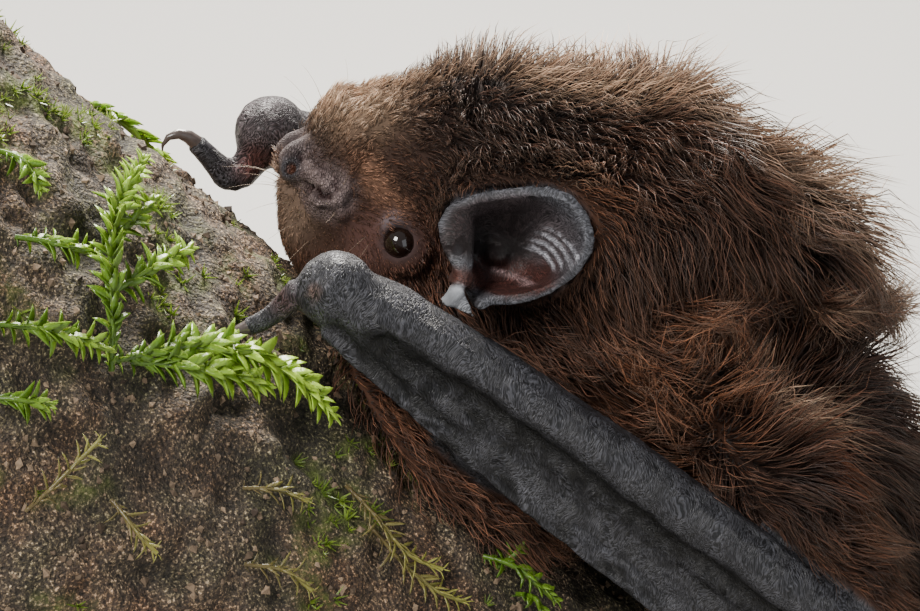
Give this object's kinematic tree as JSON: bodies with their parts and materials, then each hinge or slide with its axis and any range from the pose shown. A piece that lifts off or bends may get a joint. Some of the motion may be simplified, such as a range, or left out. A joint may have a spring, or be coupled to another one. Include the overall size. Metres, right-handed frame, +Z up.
{
  "type": "bat figure",
  "caption": "Life-size long-tailed bat, wings folded, clinging head-up to a sloping length of mossy branch on a display stand.",
  "frame": {"origin": "centre of the display base's underside, on the surface that it stands on", "axes": "+Z up; +X the way the branch slopes down, from the bat's head to its tail; the bat's left side faces -Y"},
  "size_m": [0.121, 0.066, 0.1261],
  "materials": {
    "coat": "long soft fur, dark brown with chestnut and tan tips",
    "bare_skin": "fine wrinkled slate-black skin, satin",
    "eye": "glossy, nearly black",
    "claw": "horn, dark and smooth",
    "bark": "rough granular bark with moss",
    "stand_wood": "oiled dark wood, satin",
    "stand_metal": "brushed steel rod"
  },
  "bodies": {
    "root": {"head": "coat", "hindquarters": "coat", "lower_jaw": "coat", "neck": "coat", "thigh_left": "coat", "thigh_right": "coat", "trunk": "coat", "upper_arm_left": "coat", "upper_arm_right": "coat", "eye_left": "eye", "eye_right": "eye", "thumb_claw_left": "claw", "thumb_claw_right": "claw", "perch_log": "bark", "stand_base": "stand_wood", "stand_rod_front": "stand_metal", "stand_rod_rear": "stand_metal", "ear_left": "bare_skin", "ear_right": "bare_skin", "folded_fingers_left": "bare_skin", "folded_fingers_right": "bare_skin", "folded_membrane_left": "bare_skin", "folded_membrane_right": "bare_skin", "foot_left": "bare_skin", "foot_right": "bare_skin", "forearm_left": "bare_skin", "forearm_right": "bare_skin", "shin_left": "bare_skin", "shin_right": "bare_skin", "side_membrane_left": "bare_skin", "side_membrane_right": "bare_skin", "tail": "bare_skin", "tail_membrane_left": "bare_skin", "tail_membrane_right": "bare_skin", "thumb_left": "bare_skin", "thumb_right": "bare_skin", "tragus_left": "bare_skin", "tragus_right": "bare_skin", "wrist_left": "bare_skin", "wrist_right": "bare_skin"}
  },
  "joints": []
}
